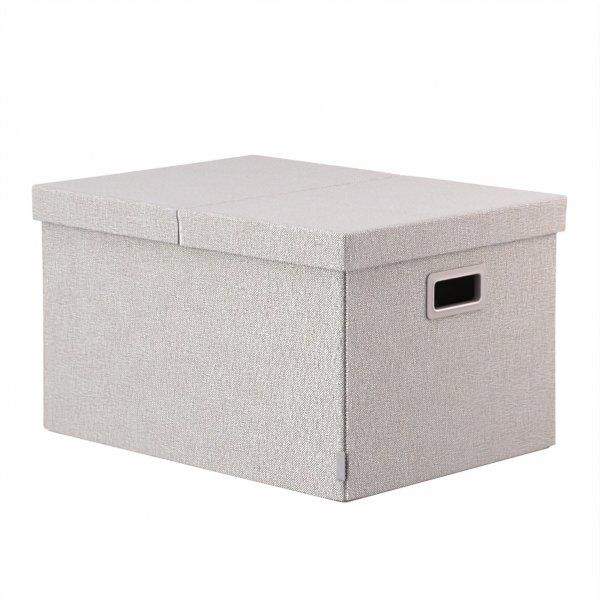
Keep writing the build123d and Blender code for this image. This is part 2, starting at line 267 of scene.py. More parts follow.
# %% Lining felt
def lining_cloth():
    f = Finish("pressed felt lining", Roughness=0.95, Sheen_Weight=0.1, Specular_IOR_Level=0.2)
    across, along = f.flat()
    fibres = f.noise(f.point(across * 0.5, along * 2.2), 1.0, 4.0, 0.7)
    fibres = fibres + f.noise(f.point(across * 2.2, along * 0.5, 30.0), 1.0, 4.0, 0.7)
    # dots of the pressing, 2 mm apart on a slant
    column, row = (across + along) / 2.0, (across - along) / 2.0
    dot = (abs(column % 1.0 - 0.5) ** 2.0 + abs(row % 1.0 - 0.5) ** 2.0) ** 0.5
    pressed = f.remap(dot, 0.16, 0.3, kind="SMOOTHSTEP")
    cloud = f.noise(f.point(across, along), 0.05, 2.0)
    light = 0.86 + (fibres - 1.0) * 0.25 + pressed * 0.08 + (cloud - 0.5) * 0.1
    return f.finish(f.lit((0.66, 0.64, 0.62), light), pressed * 0.6 + fibres * 0.4, 0.0002, 0.6)


inner_cloth = lining_cloth()


# %% Card
def card_finish():
    f = Finish("grey-brown card", Roughness=0.92, Specular_IOR_Level=0.25)
    place = f.node("ShaderNodeTexCoord", out="Object")
    pulp = f.noise(place, 900.0, 4.0, 0.7)
    color = f.node("ShaderNodeValToRGB", None, [pulp])
    stops = color.socket.node.color_ramp.elements
    stops.new(0.5)
    tones = (0.3, (0.34, 0.28, 0.22)), (0.5, (0.42, 0.36, 0.29)), (0.75, (0.50, 0.44, 0.37))
    for stop, (position, tone) in zip(stops, tones):
        stop.position, stop.color = position, (*tone, 1)
    fleck = f.noise(place, 260.0, 2.0, 0.6) > 0.68
    return f.finish(f.blend(fleck * 0.4, color, (0.20, 0.17, 0.15)), pulp, 0.0001, 0.5)


card = card_finish()


# %% Moulded plastic of the handles
def plastic_finish():
    f = Finish("satin moulded plastic", Specular_IOR_Level=0.45)
    place = f.node("ShaderNodeTexCoord", out="Object")
    grain = f.noise(place, 2600.0, 3.0, 0.6)
    cloud = f.noise(place, 45.0, 2.0, 0.5)
    color = f.blend(cloud, (0.62, 0.56, 0.547), (0.66, 0.598, 0.583))
    # painted shade deep in the collar and a painted highlight on the lip, from the mesh's values
    color = f.tint(f.attribute("painted_light"), color, (0.20, 0.17, 0.17))
    return f.finish(color, grain, 0.00003, 0.4, roughness=0.42 + cloud * 0.08 + grain * 0.05)


plastic = plastic_finish()


# %% Satin ribbon of the tag
def ribbon_finish():
    f = Finish("blank satin ribbon", Sheen_Weight=0.15, Specular_IOR_Level=0.4)
    across, along = f.flat()
    weft = abs((along / 0.28) % 1.0 - 0.5) * 2.0
    warp = abs((across / 0.16) % 1.0 - 0.5) * 2.0
    cloud = f.noise(f.point(across, along * 0.25), 0.35, 3.0, 0.6)
    streak = f.noise(f.point(across * 0.75, along * 0.16, 5.0), 1.0, 1.0, 0.6)
    # a little more violet at its foot
    color = f.blend(f.remap(along, 30.0, 56.0), (0.57, 0.527, 0.575), (0.57, 0.558, 0.555))
    color = f.tint(cloud, color, (0.78, 0.78, 0.78))
    color = f.tint((streak - 0.5) * 1.6, color, (0.62, 0.62, 0.63))
    # a painted highlight where the mesh's values are above 0, on the fold
    color = f.tint(f.attribute("painted_light"), color, (1.5, 1.5, 1.46))
    color = f.blend(weft * 0.18, color, (0.38, 0.36, 0.39))
    return f.finish(color, weft * 0.6 + warp * 0.4, 0.00005, 0.5, roughness=0.5 + cloud * 0.1)


ribbon = ribbon_finish()


# %% Sewing thread
def thread_finish():
    f = Finish("two-ply sewing thread", Roughness=0.75, Specular_IOR_Level=0.3)
    twist = f.noise(f.node("ShaderNodeTexCoord", out="Object"), 1800.0, 2.0, 0.6)
    return f.finish(f.blend(twist, (0.60, 0.56, 0.54), (0.80, 0.77, 0.75)), twist, 0.0001, 0.6)


thread = thread_finish()

# the finish that each material slot of the record takes
FINISHES = {
    "cover_fabric": cover_cloth, "lining_fabric": inner_cloth, "chipboard": card,
    "handle_plastic": plastic, "tag_ribbon": ribbon,
}

# %% [markdown]
# ## Sizes that the pieces share
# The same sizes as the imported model, in millimetres, read back from it where it holds them: the outside of
# the body, the lid and the handles. A wall is 4.1 mm thick: cloth, card, lining.

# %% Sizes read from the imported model
def low_high(node):
    low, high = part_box(node)
    return np.array(low) / MM, np.array(high) / MM


# half the length and width of the box and of its lid, and the levels of walls, lid and hems
BOX_X, BOX_Y = low_high("right_end_cover")[1][0], low_high("back_cover")[1][1]
WALL_LOW, WALL_TOP = low_high("front_cover")[0][2], low_high("front_cover")[1][2]
LID_X, LID_Y, LID_TOP = low_high("lid_right_cover")[1]
RIM_LOW = low_high("lid_right_cover")[0][2]
HEM_LINE, RIM_HEM = low_high("front_lining")[1][2], RIM_LOW + 20.0
HANDLE_LOW, HANDLE_HIGH = low_high("right_handle_bezel")
HANDLE_Z = (HANDLE_LOW[2] + HANDLE_HIGH[2]) / 2
TAG_LOW, TAG_HIGH = low_high("seam_tag")
TAG_Z = (TAG_LOW[2] + TAG_HIGH[2]) / 2
CLOTH, BOARD = 0.8, 2.5
PANEL = CLOTH + BOARD + CLOTH
SEAM = 0.85  # from the corner to the end of a wall's face
STITCH_IN = 3.2  # from a hem's edge to its stitches
FLARE, END_FLARE = 1.4, 2.5  # how far the soft long walls and ends lean out at the floor
FULLER = (0.0, 0.0, 1.3, 1.5)  # how much fuller the cloth of the front, right, back and left wall sits
LID_CORNER = 8.0
LID_END_X, LID_END_Y = LID_X - LID_CORNER, LID_Y - LID_CORNER  # where the lid's corners begin
TOP_LEVEL, TOP_ROLL = LID_TOP - 0.45, 3.4  # level of the top's cloth, and the round of its edge
TOP_CALM = 0.2  # how much of the weave's relief the pressed top keeps
HINGE_EDGE = 2.05  # from the middle to a half's edge at the hinge
DIAGONAL = 2**-0.5
print("half sizes", BOX_X, BOX_Y, "walls", WALL_LOW, WALL_TOP, "lid", RIM_LOW, LID_TOP, "handle", HANDLE_Z)

# %% [markdown]
# ## Sheets of cloth as grids
# A cloth piece is a grid of points, rows by columns, that knows two things for each point: where it is on
# the box, and where it was on the flat cloth before sewing. The second becomes the map that the weave reads,
# so threads run with the cloth round every fold. Rows or columns that meet in one point, as at a folded
# corner, are merged. Solidify gives the cloth its thickness, inwards, so that its outside stays put.


# %% Small shapes of a curve, and points in grids
def ramp(value, start, end):
    """0 up to start, 1 from end on, and a straight line between them."""
    return np.clip((value - start) / (end - start), 0, 1)


def hump(value, middle, width):
    """1 at the middle, and a soft fall to 0 on both sides of it."""
    return np.exp(-(((value - middle) / width) ** 2))


def eased(share):
    """A ramp that starts and ends softly."""
    return share * share * (3 - 2 * share)


def grid(*coordinates):
    """One grid of points from coordinates that may be whole grids, single rows or single columns."""
    return np.stack(np.broadcast_arrays(*coordinates), -1)


def cos_sin(turns):
    return np.cos(turns), np.sin(turns)


def walked(points):
    """How far along a chain of points each of them lies."""
    return np.concatenate([[0], np.cumsum(np.hypot(*np.diff(points, axis=0).T))])


def turned(points, quarter):
    """Points turned about the box's middle by some quarter turns."""
    c, s = [(1, 0), (0, 1), (-1, 0), (0, -1)][quarter]
    x, y, z = points[..., 0], points[..., 1], points[..., 2]
    return np.stack([c * x - s * y, s * x + c * y, z], -1)


def ripple(seed, a, b, size):
    """Gentle unevenness of a taut cloth, the same at every run."""
    draw = np.random.default_rng(seed)
    total = 0
    for _ in range(7):
        turn, length, shift = draw.uniform(0, np.pi), draw.uniform(60, 170), draw.uniform(0, 2 * np.pi)
        total = total + np.sin((a * np.cos(turn) + b * np.sin(turn)) * 2 * np.pi / length + shift)
    return total * size / 4


# %% Sheets become one piece on its body
def sheet(points, flat, flip=False, hole=None, painted_light=0.0, calm=1.0):
    """A grid of cloth in mm: hole marks cells to leave out, the shade values paint shade where above 0 and a
    highlight where below, and calm lowers the weave's relief.
    """
    shape = points.shape[:2]
    painted_light, calm = (np.broadcast_to(values, shape).reshape(-1) for values in (painted_light, calm))
    at = np.arange(shape[0] * shape[1]).reshape(shape)
    faces = np.stack([at[:-1, :-1], at[:-1, 1:], at[1:, 1:], at[1:, :-1]], -1).reshape(-1, 4)
    if hole is not None:
        faces = faces[~hole.reshape(-1)]
    return points.reshape(-1, 3), flat.reshape(-1, 2), faces[:, ::-1] if flip else faces, painted_light, calm


def crispness(points):
    """The weave stands out most at two opposite corners, and is pressed flatter away from them; the same value
    also paints light onto the cloth at those corners.
    """
    x, y, z = points.T
    front_right = np.hypot((BOX_X - x) / (2 * BOX_X), (y + BOX_Y) / 390)
    back_left = np.hypot((BOX_X + x) / (2 * BOX_X), (BOX_Y - y) / (2 * BOX_Y))
    away = np.minimum(front_right, back_left)
    outside = np.maximum(np.abs(x) - BOX_X, np.abs(y) - BOX_Y)
    on_rim = ramp(outside, 3, 5) * ramp(z, RIM_LOW - 8, RIM_LOW - 4)
    on_long_rim = on_rim * ramp(np.abs(x), BOX_X + 2, BOX_X - 2)
    most, least = 1.46, 0.52
    share = np.clip(most - 0.86 * away * (1 + 0.3 * ramp(z, RIM_LOW - 8, 0)), least, most)
    return share * (1 - 0.38 * np.clip(away, 0, 1) * on_long_rim)


def new_object(name, data):
    made = bpy.data.objects.new(name, data)
    bpy.context.scene.collection.objects.link(made)
    return made


def cloth_piece(name, sheets, slot, body, stands_for, thickness=CLOTH):
    """Joins sheets into one piece of cloth on its body."""
    starts = np.cumsum([0] + [len(part[0]) for part in sheets])
    points, flats, _, painted_light, calm = (np.concatenate(parts) for parts in zip(*sheets))
    faces = np.concatenate([part[2] + start for part, start in zip(sheets, starts)])
    mesh = bpy.data.meshes.new(name)
    mesh.from_pydata((points * MM).tolist(), [], faces.tolist())
    corner = np.zeros(len(mesh.loops), np.int32)
    mesh.loops.foreach_get("vertex_index", corner)
    mesh.uv_layers.new(name="cloth").data.foreach_set("uv", (flats[corner] * MM).astype(np.float32).ravel())
    for label, values in (("painted_light", painted_light), ("crisp_and_lit", crispness(points) * calm)):
        mesh.attributes.new(label, "FLOAT", "POINT").data.foreach_set("value", values.astype(np.float32))
    work = bmesh.new()
    work.from_mesh(mesh)
    bmesh.ops.remove_doubles(work, verts=work.verts, dist=2e-6)
    bmesh.ops.dissolve_degenerate(work, edges=work.edges, dist=1e-6)
    bmesh.ops.delete(work, geom=[v for v in work.verts if not v.link_faces], context="VERTS")
    work.to_mesh(mesh)
    work.free()
    mesh.materials.append(FINISHES[slot])
    mesh.shade_smooth()
    piece = new_object(name, mesh)
    if thickness:
        cloth = piece.modifiers.new("cloth thickness", "SOLIDIFY")
        cloth.thickness, cloth.offset = thickness * MM, -1.0
        settle(piece)
    place_piece(piece, body, stands_for)


def settle(piece):
    """Turns the piece and its modifiers into one plain mesh."""
    depsgraph = bpy.context.evaluated_depsgraph_get()
    mesh = bpy.data.meshes.new_from_object(
        piece.evaluated_get(depsgraph), preserve_all_data_layers=True, depsgraph=depsgraph
    )
    piece.modifiers.clear()
    piece.data = mesh


def place_piece(piece, body, stands_for=None):
    """Sets a finished piece on its body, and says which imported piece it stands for."""
    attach(piece, body)
    if stands_for:
        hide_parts(stands_for)
    print("piece:", piece.name, len(piece.data.polygons), "faces on", body)


# %% [markdown]
# ## The four walls
# Each wall is a pocket of outer cloth round its card, closed at both ends in a slanting seam, with its top
# edge turned down inside as a 30 mm hem. I could model it as a box with bevels, but a swept sheet shows more:
# the soft roll at the corner, the fold over the top, the crease where a long wall folds, and the slight
# lean outwards that cloth walls have at the floor. Rows follow the cloth from the hem over the top and down
# the face. Columns follow it along the wall and round into the corner seam.


# %% Rows of a wall, and how a wall leans and fills
def hem_fold(count, power):
    """Rows of a fold from a panel's inside to its face: cosine of the turn, rise, depth, share of the face."""
    c, s = cos_sin(np.linspace(0, np.pi, count)[1:-1])
    depth = PANEL / 2 * (1 + np.sign(c) * np.abs(c) ** power)
    return c, s**power, depth, np.maximum(0, 1 - depth / (PANEL / 2))


def wall_rows(foot, extra):
    """Depth behind the face, height, share of the corner roll, and way down the cloth, each a column."""
    over = WALL_TOP - 1.6
    _, rise, depth, share = hem_fold(13, 0.72)
    cos, sin = cos_sin(np.linspace(0, np.pi / 2, 7)[1:])
    rows = np.concatenate([
        grid(PANEL, np.linspace(HEM_LINE + 0.15, over, 7), 0.0),
        grid(depth, over + 1.6 * rise, share),
        grid(0.0, np.unique(np.append(np.linspace(over, foot + 1.5, 46), extra))[::-1], 1.0),
        grid(1.3 * (1 - cos), foot + 1.5 * (1 - sin), 1.0),
        [(PANEL, foot, 1.0)],
    ])
    return [column[:, None] for column in (*rows.T, -walked(rows[:, :2]))]


def lean(z, flare=FLARE):
    """How far a wall stands out at a height."""
    return flare * ramp(z, 175, 0) ** 1.2


def full(z, quarter):
    """How far the cloth of one wall stands off its card, up to the lid's rim."""
    return FULLER[quarter % 4] * ramp(z, RIM_LOW + 25, RIM_LOW + 11)


def handle_hole(s, z, half_run, half_rise):
    """Which cells of a grid lie in the handle's hole, but for slivers at its edge."""
    s, z = ((g[:-1, :-1] + g[1:, 1:]) / 2 for g in (s, z))
    return (np.abs(s) < half_run) & (np.abs(z - HANDLE_Z) < half_rise - 0.1)


# %% One wall, made along its own length and then turned to its side of the box
def wall(name, quarter, seed, stands_for):
    """A wall: s runs along it, d is the depth behind its face. The long walls are creased in the middle."""
    creased = quarter % 2 == 0
    half_run, half_off = (BOX_X, BOX_Y) if creased else (BOX_Y, BOX_X)
    roll_s, roll_d = (5.0, 3.4) if creased else (1.6, 2.6)  # the corner roll, along the wall and in depth
    hole_s, hole_z = 44.0, 20.0  # half sizes of the handle's hole in the cloth of an end
    cuts = [] if creased else [HANDLE_Z - hole_z, HANDLE_Z + hole_z]
    depth, height, part, flat_v = wall_rows(1.2 if creased else 2.5, cuts)
    reach = half_run - SEAM - roll_s - roll_d
    extra = np.array([0.5, 1.2, 2.0, 2.7, 3.6] if creased else [hole_s])
    inside = np.unique(np.concatenate([np.linspace(-1, 1, 71) * reach, -extra, extra]))
    turn = np.linspace(0, np.pi / 2, 9)[1:]
    square = 1.0 if creased else 0.62  # an end wall's edge is folded tighter
    run_in = 1.6  # last step, down the slant of the seam
    end = half_run - SEAM - depth  # the slanted seam sets each row's end
    stop = end - (roll_s + roll_d) * part
    straight = inside / reach * stop
    s_end = stop + roll_s * part * np.sin(turn) ** square
    s_run = end - (roll_d + run_in) * part
    d_end = depth + roll_d * part * (1 - np.cos(turn) ** square)
    d_run = depth + (roll_d + run_in) * part
    s = np.concatenate([-s_run, -s_end[:, ::-1], straight, s_end, s_run], 1)
    d = np.concatenate([d_run, d_end[:, ::-1], depth + 0 * straight, d_end, d_run], 1)
    z = height + 0 * s
    # painted shade deep in the seam on the long walls' wide roll, and a painted highlight on the end walls' tight
    # roll
    deep = (1 - np.cos(turn)) ** 1.3 * (0.85 if creased else -0.35) * part
    painted_light = np.concatenate([part, deep[:, ::-1], 0 * straight, deep, part], 1)
    # painted light just under the lid's rim, lightening the rim's shadow
    painted_light = painted_light - (0.08 if creased else 0.14) * hump(z, RIM_LOW - 4, 6)
    if quarter == 1:
        # painted shadow of the tag in the front right seam on the edge beside it
        painted_light[:, : len(turn) + 1] += 0.85 * ramp(np.abs(height - TAG_Z - 1), 17, 0) ** 0.5
    painted_light = painted_light * (depth < 2.0)

    # the flat cloth: u along the wall, v down the cloth
    arc = np.append(turn * (roll_s + roll_d) / 2, np.pi / 4 * (roll_s + roll_d) + 2.2)
    flat = grid(np.concatenate([-(reach + arc)[::-1], inside, reach + arc]), flat_v)

    # on the face only: unevenness, the crease, and the lean at the floor
    face = ramp(d, 1.2, 0)
    bulge = ripple(seed, s, z, 0.22) * ramp(half_run - np.abs(s), 0, 30) * face
    if creased:
        fade = ramp(z, 195, 255) ** 1.5
        groove = hump(s, 1.2, 1.5) * (0.1 + 0.9 * fade)
        bulge = bulge + (hump(s, 3.6, 1.4) * 0.35 * fade - groove) * face
    # the corners are worn a little short at the floor
    z = z + 1.9 * ramp(z, 8, 0) * hump(half_run - np.abs(s), 0, 22)
    flare, side_flare = (FLARE, END_FLARE) if creased else (END_FLARE, FLARE)
    out = lean(z, flare)
    aside = lean(z, side_flare) + np.where(s > 0, full(z, quarter + 1), full(z, quarter + 3))
    if not creased:
        # an end stays flat round its handle
        near_s, near_z = np.maximum(np.abs(s) - 52, 0) / 55, np.maximum(np.abs(z - HANDLE_Z) - 28, 0) / 40
        calm = eased(np.clip(np.hypot(near_s, near_z), 0, 1))
        bulge, out = bulge * calm, out * calm
    off = half_off - d + bulge + out + full(z, quarter) * face
    run = s * (1 + aside / half_run)
    at_right, at_left = (ramp(side, half_run - 15, half_run - 3) * (z < RIM_LOW + 15) for side in (s, -s))
    if quarter == 0:
        # the front right seam is sewn a little off the corner, but not at the tag
        run = run + 0.4 * ramp(z, 80, 130) * at_right
    if quarter == 1:
        # the end's side of that seam gapes, less at the floor
        run = run + (0.58 - 0.33 * ramp(z, 30, 12)) * at_left
    hole = None if creased else handle_hole(s, z, hole_s, hole_z)
    points = turned(grid(run, -off, z), quarter)
    pieces = [sheet(points, flat, True, hole, painted_light, 1.0 if creased else 0.88)]
    cloth_piece(name, pieces, "cover_fabric", "box", stands_for)


wall("front_wall_cloth", 0, 3, "front_cover")
wall("right_wall_cloth", 1, 5, "right_end_cover")
wall("back_wall_cloth", 2, 8, "back_cover")
wall("left_wall_cloth", 3, 13, "left_end_cover")

# %% [markdown]
# ## Corner seams
# Two pockets are sewn together down each corner, over a narrow strip that lies deep in the groove between
# them. The strip is a flat cord of the outer cloth.


# %% The strip in a corner's groove
def corner_strip(name, sign_x, sign_y, stands_for):
    z = np.linspace(WALL_LOW + 3.2, WALL_TOP, 40)[:, None]
    turn = np.linspace(0, 2 * np.pi, 13)
    # across the slant, and in along it: a flattened round, 1.5 mm wide and 1.8 mm deep
    across, inward = 0.75 * np.cos(turn), 5.3 - 0.9 * np.sin(turn)
    x = BOX_X + lean(z, END_FLARE) + (across - inward) * DIAGONAL + full(z, 1 if sign_x > 0 else 3)
    y = BOX_Y + lean(z) - (across + inward) * DIAGONAL + full(z, 2 if sign_y > 0 else 0)
    points, flat = grid(x * sign_x, y * sign_y, z), grid(turn * 0.9, z)
    low, top = (0 * points[:1] + points[end].mean(0) for end in (0, -1))
    points, flat = np.concatenate([low, points, top]), np.concatenate([flat[:1], flat, flat[-1:]])
    # painted shade on the whole strip, as deep in the groove
    painted_groove_shade = 1.0
    if (sign_x, sign_y) == (1, -1):
        # painted shade, darker at this seam, most at the tag, and less at the floor
        z = points[..., 2]
        painted_groove_shade = 1.22 + 0.14 * ramp(np.abs(z - TAG_Z), 18, 9) - 0.6 * ramp(z, 22, 14)
    strip = sheet(points, flat, sign_x * sign_y < 0, painted_light=painted_groove_shade)
    cloth_piece(name, [strip], "cover_fabric", "box", stands_for, 0)


for end, sign_y in (("front", -1), ("back", 1)):
    for side, sign_x in (("right", 1), ("left", -1)):
        corner_strip(f"seam_strip_{end}_{side}", sign_x, sign_y, f"corner_seam_{end}_{side}")

# %% [markdown]
# ## Linings and floor
# The lining of each wall lies flush below the hem, a felt sheet with the handle's hole in the ends. The
# floor has the outer cloth below and felt above.


# %% Upright linings
def wall_lining(side, quarter, seed):
    """The lining of one wall, which faces the inside of the box."""
    node, creased = side + "_lining", quarter % 2 == 0
    low, high = low_high(node)
    half_run, half_off = (high[0], BOX_Y) if creased else (high[1], BOX_X)
    hole_s, hole_z = 43.2, 19.0
    cuts_s, cuts_z = ([], []) if creased else ([-hole_s, hole_s], [HANDLE_Z - hole_z, HANDLE_Z + hole_z])
    s = np.unique(np.concatenate([np.linspace(-half_run, half_run, 41), cuts_s]))
    z = np.unique(np.concatenate([np.linspace(low[2], high[2], 31), cuts_z]))
    s, z = np.meshgrid(s, z)
    rim = ramp(np.minimum(half_run - np.abs(s), np.minimum(z - low[2], high[2] - z)), 0, 12)
    off = half_off - PANEL + ripple(seed, s, z, 0.12) * rim - 0.1 * rim
    hole = None if creased else handle_hole(s, z, hole_s, hole_z)
    felt = sheet(turned(grid(s, -off, z), quarter), grid(s, z), True, hole)
    cloth_piece(side + "_felt", [felt], "lining_fabric", "box", node)


for quarter, side in enumerate(("front", "right_end", "back", "left_end")):
    wall_lining(side, quarter, 21 + quarter)


# %% Level sheets: the floor's two cloths
def level_sheet(name, half_x, half_y, z, corner, slot, flip, stands_for):
    x, y = np.meshgrid(np.linspace(-half_x, half_x, 49), np.linspace(-half_y, half_y, 49))
    # round the corners by pulling the grid's corner points in
    over_x, over_y = np.maximum(np.abs(x) - half_x + corner, 0), np.maximum(np.abs(y) - half_y + corner, 0)
    reach = np.hypot(over_x, over_y)
    pull = np.where(reach > corner, corner / np.maximum(reach, 1e-9), 1.0)
    x = np.sign(x) * (np.abs(x) - over_x * (1 - pull))
    y = np.sign(y) * (np.abs(y) - over_y * (1 - pull))
    cloth_piece(name, [sheet(grid(x, y, z), grid(x, y), flip)], slot, "box", stands_for)


level_sheet("underside_cloth", BOX_X - 3.5, BOX_Y - 2.6, 0.0, 4.0, "cover_fabric", True, "bottom_cover")
felt_z = WALL_LOW + CLOTH
level_sheet("floor_felt", BOX_X - PANEL, BOX_Y - PANEL, felt_z, 1.0, "lining_fabric", False, "bottom_lining")

# %% [markdown]
# ## The loose base board
# Two card halves, each wrapped in felt and joined by the felt along the middle. A wrapped board has soft
# edges and hardly any bulge, so it is a closed box whose edges are rolled with Bevel.


# %% Felt round each half board
def wrapped_board(name, node, body, slot, radius=1.4, end_x=None, shape=None):
    """A board with rolled edges in a node's place; end_x cuts it short, shape moves its points."""
    low, high = low_high(node)
    if end_x is not None:
        high[0] = end_x
    centre, size = (low + high) / 2, high - low
    mesh = bpy.data.meshes.new(name)
    work = bmesh.new()
    bmesh.ops.create_cube(work, size=1.0)
    for v in work.verts:
        v.co = Vector((centre[i] + v.co[i] * size[i]) * MM for i in range(3))
    long_edges = [e for e in work.edges if e.calc_length() > 0.05]
    bmesh.ops.subdivide_edges(work, edges=long_edges, cuts=19, use_grid_fill=True)
    work.to_mesh(mesh)
    work.free()
    piece = new_object(name, mesh)
    soft = piece.modifiers.new("rolled edges", "BEVEL")
    soft.width, soft.segments, soft.limit_method = radius * MM, 4, "ANGLE"
    settle(piece)
    mesh = piece.data
    if shape is not None:
        places = np.array([v.co for v in mesh.vertices]) / MM
        mesh.vertices.foreach_set("co", (shape(places) * MM).astype(np.float32).ravel())
        mesh.update()
    # the flat map: each face is laid out along the two axes it spans
    uv = mesh.uv_layers.new(name="cloth")
    for face in mesh.polygons:
        n = [abs(c) for c in face.normal]
        a, b = ((0, 1), (0, 2), (1, 2))[0 if n[2] == max(n) else 1 if n[1] == max(n) else 2]
        for i in face.loop_indices:
            co = mesh.vertices[mesh.loops[i].vertex_index].co
            uv.data[i].uv = (co[a], co[b])
    mesh.materials.clear()
    mesh.materials.append(FINISHES[slot])
    mesh.shade_smooth()
    place_piece(piece, body, node)


for side in ("left", "right"):
    wrapped_board(f"base_felt_{side}", f"base_cover_{side}", f"base_{side}", "lining_fabric")

# %% [markdown]
# ## Handle inserts
# Each end has a moulded insert: a thin flange on the cloth, a raised lip round the opening, and a collar
# through the wall that snaps into a ring inside. The whole insert is one outline, a rectangle with round
# corners, drawn again and again at other sizes and depths, so it is lofted from a list of sections.


# %% Loops of the handle's outline, and the loft through them
def round_rectangle(half_a, half_b, corner):
    """Points round a rectangle with round corners, with three of them along each side."""
    arcs = []
    for k, (sign_a, sign_b) in enumerate([(1, 1), (-1, 1), (-1, -1), (1, -1)]):
        angle = (np.linspace(0, 1, 9) + k) * np.pi / 2
        centre = (half_a - corner) * sign_a, (half_b - corner) * sign_b
        arcs.append(centre + corner * grid(np.cos(angle), np.sin(angle)))
    loop = []
    for here, following in zip(arcs, arcs[1:] + arcs[:1]):
        loop += [here, here[-1] + (following[0] - here[-1]) * np.array([[0.25], [0.5], [0.75]])]
    return np.concatenate(loop)


def handle_insert(name, side, stands_for):
    opening_a, opening_b, opening_r = 40.0, 16.0, 6.0
    flange = 10.0  # how far it reaches outside the opening
    face, back = HANDLE_HIGH[0], HANDLE_LOW[0]  # top of the raised lip, and end of the collar
    plate, edge = face - 0.75, face - 1.75  # face of the flange, and where its edge starts to round
    c, s = cos_sin(np.linspace(0, np.pi / 2, 6)[1:])
    dip = np.linspace(0, np.pi / 2, 8)[1:]
    # (margin outside the opening, distance from the box's middle, painted shade: dark at the flange's edge and
    # deep in the collar, and a painted highlight on the lip where below 0)
    sections = np.concatenate([
        [(flange, BOX_X - 0.3, 1.0), (flange, BOX_X + 0.7, 1.0), (flange, BOX_X + 1.1, 0.9)],
        [(flange, edge, 0.5)],
        grid(flange - 0.9 * (1 - c), edge + s, 0.0),
        [(6.0, plate - 0.04, 0.0), (3.4, plate - 0.02, 0.0)],
        # the lip: up over a soft bead and down into the opening
        grid(3.0 - 0.8 * (1 - c), plate + 0.75 * s, 0.0),
        [(1.5, face, -0.2)],
        grid(1.4 - 1.4 * np.sin(dip), face - 1.6 * (1 - np.cos(dip)), -0.55 + 1.2 * (dip / 1.57) ** 4),
        # the collar: back through the wall, round its end, and out again to the flange
        [(0.0, BOX_X, 0.75), (0.0, BOX_X - 3.0, 0.9), (0.0, back + 0.5, 0.97), (0.3, back, 0.9)],
        [(1.5, back, 0.8), (1.8, back + 0.3, 0.6), (1.8, BOX_X - 0.3, 1.0)],
    ])
    margins, places, shade = np.append(sections, sections[:1], 0).T
    loops = []
    for margin, x in zip(margins, places):
        # on the flange the corners are tighter than round the lip
        corner = opening_r + margin if margin < 5 else margin - 3.0
        loop = round_rectangle(opening_a + margin, opening_b + margin, corner)
        loops.append(grid(side * x, side * loop[:, 0], HANDLE_Z + loop[:, 1]))
    points = np.array(loops)
    points = np.concatenate([points, points[:, :1]], 1)
    rows, columns = points.shape[:2]
    flat = grid(3.0 * np.arange(1, columns + 1), np.arange(1, rows + 1)[:, None])
    # a painted highlight along the edge of the lip, but for its far side
    lip_highlight = hump(margins, 1.3, 0.7) * (places > face - 0.9)
    outline = round_rectangle(opening_a, opening_b, opening_r)
    near = ramp(np.append(outline[:, 0], outline[0, 0]), 37, 29)
    shade = shade[:, None] - 0.75 * lip_highlight[:, None] * near
    cloth_piece(name, [sheet(points, flat, True, painted_light=shade)], "handle_plastic", "box", stands_for, 0)


for side, sign in (("right", 1), ("left", -1)):
    handle_insert(f"{side}_handle_insert", sign, f"{side}_handle_bezel")

# %% [markdown]
# ## The tag
# A blank satin ribbon, folded in half and caught in the front right corner seam. It lies on the front wall
# with its fold to the left.


# %% Folded ribbon
def folded_tag():
    fold, seam = TAG_LOW[0], BOX_X - SEAM
    z = np.linspace(TAG_LOW[2], TAG_HIGH[2], 17)[:, None]
    along, (c, s) = np.linspace(BOX_X - 2.5, fold + 1.5, 7), cos_sin(np.linspace(0, np.pi, 8))
    # from the seam along the wall, round the fold and back over itself: (place, height off the wall)
    path = np.concatenate([
        [(seam + 0.3, 1.0), (BOX_X - 1.2, 0.25)],
        grid(along, 0.18),
        grid(fold + 0.45 - 0.45 * s, 0.62 - 0.44 * c),
        grid(along, 1.06 - 0.1 * (along - fold) / 14)[::-1],
        [(BOX_X - 1.0, 0.95), (seam + 0.5, 0.4)],
    ])
    x, stand = path.T
    # the free corners lift slightly off the wall
    middle = (z - TAG_Z) / (TAG_HIGH[2] - TAG_Z)
    stand = stand + ramp(x, BOX_X, BOX_X - 14) ** 2 * (0.25 + 0.35 * middle**2)
    points = grid(x + lean(z, END_FLARE), -(BOX_Y + stand + lean(z)), z)
    # a painted highlight on the fold
    tag = sheet(points, grid(walked(path), z), painted_light=0.55 * hump(x, fold + 0.6, 1.2))
    cloth_piece("blank_tag", [tag], "tag_ribbon", "box", "seam_tag", 0.25)


folded_tag()

# %% [markdown]
# ## The lid
# Each half of the lid is one skin of cloth over its boards: a hem inside the rim, a fold along the rim's
# lower edge, the face, a soft roll onto the top, and the top itself. The rim's rows are swept along the
# outline, round two corners of the lid. Where the half ends, at the slit and at the hinge, the cloth turns
# in over the boards' ends. The flat top is a plain grid that shares its border points with the sweep.


# %% Rows of the rim, from the hem round to the edge of the top
def rim_rows():
    """Depth behind the rim's face, height, outward normal, share of the end fold, way up: each a column."""
    fold, roll = RIM_LOW + 1.3, TOP_LEVEL - TOP_ROLL
    c, drop, depth, share = hem_fold(11, 0.8)
    cos, sin = cos_sin(np.linspace(0, np.pi / 2, 9)[1:])
    rows = np.concatenate([
        grid(PANEL, np.linspace(RIM_HEM, fold, 7), -1.0, 0.0, 0.0),
        grid(depth, fold - 1.3 * drop, -c, -np.sqrt(1 - c * c), share),
        grid(0.0, np.linspace(fold, roll, 13), 1.0, 0.0, 1.0),
        grid(TOP_ROLL * (1 - cos), roll + TOP_ROLL * sin, cos, sin, 1.0),
        [(5.6, TOP_LEVEL, 0.0, 1.0, 1.0), (LID_CORNER, TOP_LEVEL, 0.0, 1.0, 1.0)],
    ])
    walk = walked(rows[:, :2])
    return [column[:, None] for column in (*rows.T, walk - walk[-1])]


